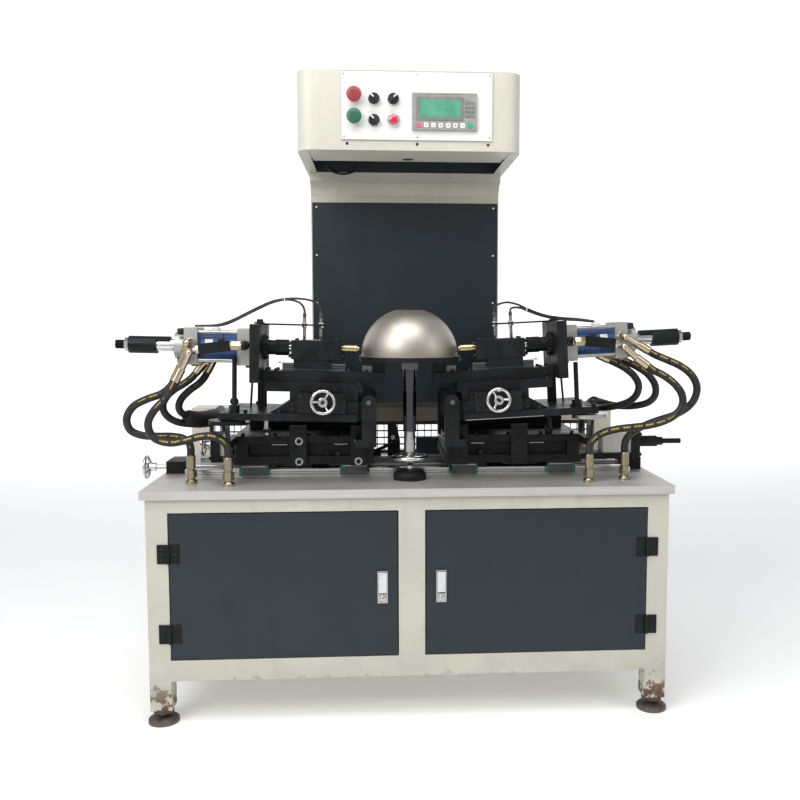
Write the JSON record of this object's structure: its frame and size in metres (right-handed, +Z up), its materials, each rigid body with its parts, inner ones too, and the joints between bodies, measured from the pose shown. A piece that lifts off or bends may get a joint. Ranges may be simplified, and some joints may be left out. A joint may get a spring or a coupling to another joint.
{
  "type": "two-sided hydraulic punching machine",
  "caption": "Free-standing bench machine with two opposed hydraulic punching units on slideways, a centre post holding a bowl upside down, and a control head on a rear column",
  "frame": {"origin": "on the floor, at the centre of the machine's box without its hoses", "axes": "+Z up, +X to the operator's right, +Y from the operator's side to the rear column"},
  "size_m": [1.6984, 0.8018, 1.831],
  "materials": {
    "cream_paint": "satin powder coat",
    "slate_paint": "satin powder coat",
    "stainless": "brushed",
    "black_steel": "black oxide",
    "ground_steel": "ground",
    "chrome": "polished",
    "brass": "machined",
    "grey_aluminium": "bead blasted",
    "white_plate": "satin",
    "red_plastic": "gloss",
    "green_plastic": "gloss",
    "black_plastic": "matt",
    "hose_rubber": "matt",
    "pump_paint": "gloss"
  },
  "bodies": {
    "base": {"cabinet_frame": "cream_paint", "table_top": "stainless", "door_hinges": "black_steel", "cabinet_panels": "cream_paint", "feet": "black_steel", "power_unit": "pump_paint", "rear_guard": "cream_paint", "column": "cream_paint", "column_panel": "slate_paint", "head": "cream_paint", "control_plate": "white_plate", "guide_rails": "ground_steel", "post_base": "black_steel", "table_fittings": "brass", "cable_duct": "slate_paint"},
    "left_door": {"left_door": "slate_paint"},
    "right_door": {"right_door": "slate_paint"},
    "left_latch": {"left_latch_handle": "chrome"},
    "right_latch": {"right_latch_handle": "chrome"},
    "red_button": {"red_button": "red_plastic"},
    "green_button": {"green_button": "green_plastic"},
    "selector_1": {"selector_1": "black_plastic"},
    "selector_2": {"selector_2": "black_plastic"},
    "selector_3": {"selector_3": "black_plastic"},
    "lead_screw": {"lead_screw": "ground_steel"},
    "post_wheel": {"post_wheel": "chrome"},
    "post_riser": {"post_riser": "chrome", "bowl": "stainless"},
    "left_saddle": {"left_saddle": "black_steel", "left_hose_a": "hose_rubber", "left_hose_b": "hose_rubber", "left_hose_c": "hose_rubber", "left_hose_d": "hose_rubber"},
    "left_lock_spindle": {"left_lock_spindle": "black_steel"},
    "left_tilt": {"left_tilt_table": "black_steel"},
    "left_tilt_wheel": {"left_tilt_wheel": "ground_steel"},
    "left_cross_wheel": {"left_cross_wheel": "chrome"},
    "left_cross": {"left_cross_slide": "black_steel", "left_beam": "black_steel", "left_cylinder_plate": "black_steel", "left_cylinder": "grey_aluminium"},
    "left_ram": {"left_ram": "black_steel", "left_punch": "brass", "left_piston_rod": "ground_steel"},
    "right_saddle": {"right_saddle": "black_steel", "right_hose_a": "hose_rubber", "right_hose_b": "hose_rubber", "right_hose_c": "hose_rubber", "right_hose_d": "hose_rubber"},
    "right_lock_spindle": {"right_lock_spindle": "black_steel"},
    "right_tilt": {"right_tilt_table": "black_steel"},
    "right_tilt_wheel": {"right_tilt_wheel": "ground_steel"},
    "right_cross_wheel": {"right_cross_wheel": "chrome"},
    "right_cross": {"right_cross_slide": "black_steel", "right_beam": "black_steel", "right_cylinder_plate": "black_steel", "right_cylinder": "grey_aluminium"},
    "right_ram": {"right_ram": "black_steel", "right_punch": "brass", "right_piston_rod": "ground_steel"}
  },
  "joints": [
    {"name": "left_door_hinge", "type": "hinge", "parent": "base", "child": "left_door", "pos_m": [-0.6755, -0.393, 0.39], "axis": [0, 0, -1], "range_deg": [0, 110]},
    {"name": "right_door_hinge", "type": "hinge", "parent": "base", "child": "right_door", "pos_m": [0.6755, -0.393, 0.39], "axis": [0, 0, 1], "range_deg": [0, 110]},
    {"name": "left_latch_lift", "type": "hinge", "parent": "left_door", "child": "left_latch", "pos_m": [-0.083, -0.394, 0.4275], "axis": [-1, 0, 0], "range_deg": [0, 60]},
    {"name": "right_latch_lift", "type": "hinge", "parent": "right_door", "child": "right_latch", "pos_m": [0.083, -0.394, 0.4275], "axis": [-1, 0, 0], "range_deg": [0, 60]},
    {"name": "red_press", "type": "slide", "parent": "base", "child": "red_button", "axis": [0, 1, 0], "range_m": [0, 0.004], "stiffness_N_per_m": 500},
    {"name": "green_press", "type": "slide", "parent": "base", "child": "green_button", "axis": [0, 1, 0], "range_m": [0, 0.004], "stiffness_N_per_m": 500},
    {"name": "selector_1_turn", "type": "hinge", "parent": "base", "child": "selector_1", "pos_m": [-0.1, -0.321, 1.751], "axis": [0, 1, 0], "range_deg": [0, 90]},
    {"name": "selector_2_turn", "type": "hinge", "parent": "base", "child": "selector_2", "pos_m": [-0.046, -0.321, 1.751], "axis": [0, 1, 0], "range_deg": [-90, 0]},
    {"name": "selector_3_turn", "type": "hinge", "parent": "base", "child": "selector_3", "pos_m": [-0.1, -0.321, 1.693], "axis": [0, 1, 0], "range_deg": [0, 90]},
    {"name": "lead_screw_turn", "type": "hinge", "parent": "base", "child": "lead_screw", "pos_m": [0, -0.055, 0.684], "axis": [1, 0, 0], "range_deg": [0, 900.3]},
    {"name": "post_wheel_turn", "type": "hinge", "parent": "base", "child": "post_wheel", "pos_m": [0, -0.24, 0.735], "axis": [0, 0, 1], "range_deg": [0, 540.2]},
    {"name": "post_lift", "type": "slide", "parent": "base", "child": "post_riser", "axis": [0, 0, 1], "range_m": [0, 0.006]},
    {"name": "left_saddle_slide", "type": "slide", "parent": "base", "child": "left_saddle", "axis": [-1, 0, 0], "range_m": [0, 0.025], "deforming": ["left_hose_a", "left_hose_b", "left_hose_c", "left_hose_d"]},
    {"name": "left_lock_turn", "type": "hinge", "parent": "left_saddle", "child": "left_lock_spindle", "pos_m": [-0.55, -0.15, 0.765], "axis": [1, 0, 0], "continuous": true},
    {"name": "left_tilt_wheel_turn", "type": "hinge", "parent": "left_tilt", "child": "left_tilt_wheel", "pos_m": [-0.52335, -0.298, 0.85014], "axis": [0.0227, 0, 0.9997], "range_deg": [-630, 189]},
    {"name": "left_tilt_turn", "type": "hinge", "parent": "left_saddle", "child": "left_tilt", "pos_m": [-0.12, -0.165, 0.905], "axis": [0, 1, 0], "range_deg": [-1, 0.3]},
    {"name": "left_cross_wheel_turn", "type": "hinge", "parent": "left_tilt", "child": "left_cross_wheel", "pos_m": [-0.2469, -0.361, 0.91088], "axis": [0, 1, 0], "range_deg": [-450.2, 450.2]},
    {"name": "left_cross_feed", "type": "slide", "parent": "left_tilt", "child": "left_cross", "axis": [0, 1, 0], "range_m": [-0.005, 0.005]},
    {"name": "left_ram_stroke", "type": "slide", "parent": "left_cross", "child": "left_ram", "axis": [-0.9997, 0, 0.0227], "range_m": [0, 0.025]},
    {"name": "right_saddle_slide", "type": "slide", "parent": "base", "child": "right_saddle", "axis": [1, 0, 0], "range_m": [0, 0.025], "deforming": ["right_hose_a", "right_hose_b", "right_hose_c", "right_hose_d"]},
    {"name": "right_lock_turn", "type": "hinge", "parent": "right_saddle", "child": "right_lock_spindle", "pos_m": [0.65, -0.15, 0.765], "axis": [1, 0, 0], "continuous": true},
    {"name": "right_tilt_wheel_turn", "type": "hinge", "parent": "right_tilt", "child": "right_tilt_wheel", "pos_m": [0.5248, -0.298, 0.86213], "axis": [-0.0523, 0, 0.9986], "range_deg": [-630, 189]},
    {"name": "right_tilt_turn", "type": "hinge", "parent": "right_saddle", "child": "right_tilt", "pos_m": [0.12, -0.165, 0.905], "axis": [0, -1, 0], "range_deg": [-1, 0.3]},
    {"name": "right_cross_wheel_turn", "type": "hinge", "parent": "right_tilt", "child": "right_cross_wheel", "pos_m": [0.24667, -0.361, 0.91464], "axis": [0, 1, 0], "range_deg": [-450.2, 450.2]},
    {"name": "right_cross_feed", "type": "slide", "parent": "right_tilt", "child": "right_cross", "axis": [0, 1, 0], "range_m": [-0.005, 0.005]},
    {"name": "right_ram_stroke", "type": "slide", "parent": "right_cross", "child": "right_ram", "axis": [0.9986, 0, 0.0523], "range_m": [0, 0.025]}
  ],
  "couplings": [
    {"joint": "post_wheel_turn", "follows": "post_lift", "rad_per_m": 1570.8},
    {"joint": "lead_screw_turn", "follows": "left_saddle_slide", "rad_per_m": 628.32},
    {"joint": "right_saddle_slide", "follows": "left_saddle_slide", "ratio": 1},
    {"joint": "left_tilt_turn", "follows": "left_tilt_wheel_turn", "ratio": 0.0015873},
    {"joint": "left_cross_wheel_turn", "follows": "left_cross_feed", "rad_per_m": 1570.8},
    {"joint": "right_tilt_turn", "follows": "right_tilt_wheel_turn", "ratio": 0.0015873},
    {"joint": "right_cross_wheel_turn", "follows": "right_cross_feed", "rad_per_m": 1570.8}
  ]
}
